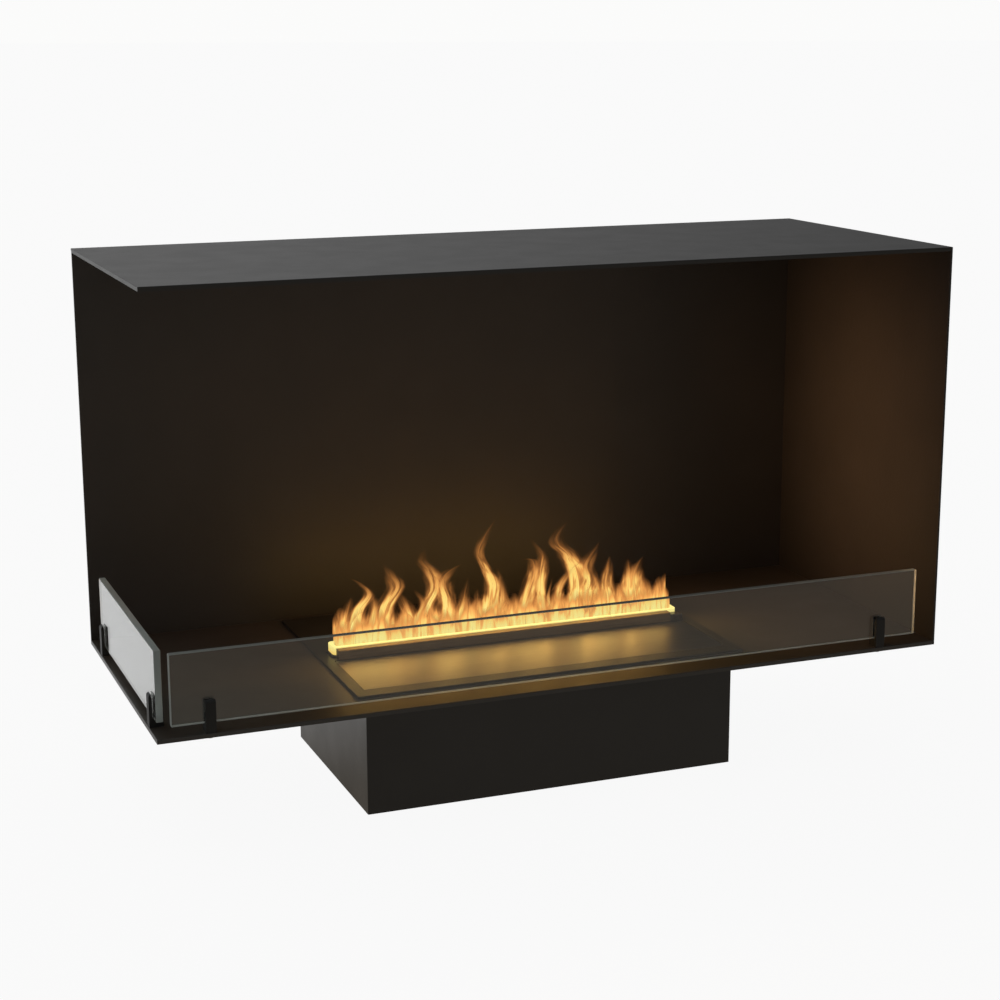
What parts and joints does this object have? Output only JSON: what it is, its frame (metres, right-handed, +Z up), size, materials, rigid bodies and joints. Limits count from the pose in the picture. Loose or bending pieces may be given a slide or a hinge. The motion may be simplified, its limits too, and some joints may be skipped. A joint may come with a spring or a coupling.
{
  "type": "corner water vapour fireplace",
  "caption": "Black steel corner fireplace, open at the front and left, with low glass guards and a drop-in water vapour burner that makes lit mist flames.",
  "frame": {"origin": "middle of the part's footprint, on the surface that the insert's base stands on", "axes": "+X to the closed end, -X the open end, -Y the open front, +Z up"},
  "size_m": [1, 0.406, 0.649],
  "materials": {
    "casing_black": "satin powder coat",
    "insert_black": "satin powder coat",
    "lid_steel": "smooth satin",
    "guard_glass": "clear, polished edges",
    "clip_black": "satin",
    "liner_rubber": "matt",
    "zinc_steel": "zinc plated",
    "receiver_black": "dark window",
    "diffuser_warm": "frosted, lit from inside",
    "led_board": "white solder mask",
    "basin_plastic": "moulded",
    "transducer_brass": "disc",
    "ring_plastic": "moulded",
    "circuit_board": "solder mask",
    "fan_black": "moulded",
    "tank_plastic": "moulded, milky",
    "cap_blue": "moulded",
    "float_white": "moulded",
    "pump_black": "moulded",
    "hose_silicone": "silicone",
    "valve_brass": "turned",
    "handle_red": "moulded",
    "filter_foam": "open foam",
    "supply_case": "folded case",
    "socket_black": "moulded",
    "contact_brass": "pins",
    "wire_black": "insulation",
    "panel_grey": "moulded",
    "button_white": "moulded"
  },
  "bodies": {
    "fireplace": {"air_filter": "filter_foam", "air_grille": "insert_black", "back_panel": "casing_black", "bracket_screws": "zinc_steel", "button_panel": "panel_grey", "cassette_body": "insert_black", "clip_liners": "liner_rubber", "clip_screws": "zinc_steel", "control_board": "circuit_board", "corner_screws": "casing_black", "deck_panel": "casing_black", "delivery_hose": "hose_silicone", "drain_hose": "hose_silicone", "drain_valve": "valve_brass", "driver_board": "circuit_board", "feed_pump": "pump_black", "fill_strainer": "tank_plastic", "float_stem": "float_white", "front_clip_left": "clip_black", "front_clip_right": "clip_black", "hinge_bosses": "zinc_steel", "hinge_pins": "zinc_steel", "inlet_contacts": "contact_brass", "led_strips": "led_board", "left_bracket": "insert_black", "left_fan_housing": "fan_black", "light_diffuser": "diffuser_warm", "mist_basin": "basin_plastic", "mist_nozzle": "basin_plastic", "nuts": "zinc_steel", "power_inlet": "socket_black", "power_supply": "supply_case", "receiver": "receiver_black", "right_bracket": "insert_black", "right_fan_housing": "fan_black", "right_panel": "casing_black", "side_clip_back": "clip_black", "side_clip_front": "clip_black", "slot_bar": "insert_black", "switch_bezel": "socket_black", "switch_board": "circuit_board", "tank_cover": "tank_plastic", "top_panel": "casing_black", "transducer_rings": "ring_plastic", "transducers": "transducer_brass", "trim_frame": "insert_black", "water_tank": "tank_plastic", "wiring": "wire_black"},
    "front_guard": {"front_glass": "guard_glass"},
    "left_guard": {"left_glass": "guard_glass"},
    "lid": {"fill_lid": "lid_steel"},
    "cap": {"fill_cap": "cap_blue"},
    "float": {"tank_float": "float_white"},
    "left_rotor": {"left_fan_rotor": "fan_black"},
    "right_rotor": {"right_fan_rotor": "fan_black"},
    "drain_lever": {"drain_handle": "handle_red"},
    "mains_rocker": {"rocker": "socket_black"},
    "flame_down": {"flame_down_button": "button_white"},
    "power": {"power_button": "button_white"},
    "flame_up": {"flame_up_button": "button_white"}
  },
  "joints": [
    {"name": "front_glass_lift", "type": "slide", "parent": "fireplace", "child": "front_guard", "axis": [0, 0, 1], "range_m": [0, 0.06]},
    {"name": "left_glass_lift", "type": "slide", "parent": "fireplace", "child": "left_guard", "axis": [0, 0, 1], "range_m": [0, 0.06]},
    {"name": "lid_hinge", "type": "hinge", "parent": "fireplace", "child": "lid", "pos_m": [0, -0.0185, 0.1435], "axis": [-1, 0, 0], "range_deg": [0, 100]},
    {"name": "cap_turn", "type": "hinge", "parent": "fireplace", "child": "cap", "pos_m": [-0.15, -0.079, 0.1275], "axis": [0, 0, 1], "range_deg": [0, 90]},
    {"name": "float_rise", "type": "slide", "parent": "fireplace", "child": "float", "axis": [0, 0, 1], "range_m": [0, 0.07]},
    {"name": "left_fan_spin", "type": "hinge", "parent": "fireplace", "child": "left_rotor", "pos_m": [-0.1495, 0.07, 0.085], "axis": [0, 1, 0], "continuous": true},
    {"name": "right_fan_spin", "type": "hinge", "parent": "fireplace", "child": "right_rotor", "pos_m": [0.1495, 0.07, 0.085], "axis": [0, 1, 0], "continuous": true},
    {"name": "drain_handle_turn", "type": "hinge", "parent": "fireplace", "child": "drain_lever", "pos_m": [-0.208, 0.1635, 0.022], "axis": [0, 0, 1], "range_deg": [0, 90]},
    {"name": "rocker_switch", "type": "hinge", "parent": "fireplace", "child": "mains_rocker", "pos_m": [0.204, 0.144, 0.0505], "axis": [-1, 0, 0], "range_deg": [0, 16]},
    {"name": "flame_down_press", "type": "slide", "parent": "fireplace", "child": "flame_down", "axis": [0, 0, -1], "range_m": [0, 0.001], "stiffness_N_per_m": 900},
    {"name": "power_press", "type": "slide", "parent": "fireplace", "child": "power", "axis": [0, 0, -1], "range_m": [0, 0.001], "stiffness_N_per_m": 900},
    {"name": "flame_up_press", "type": "slide", "parent": "fireplace", "child": "flame_up", "axis": [0, 0, -1], "range_m": [0, 0.001], "stiffness_N_per_m": 900}
  ]
}
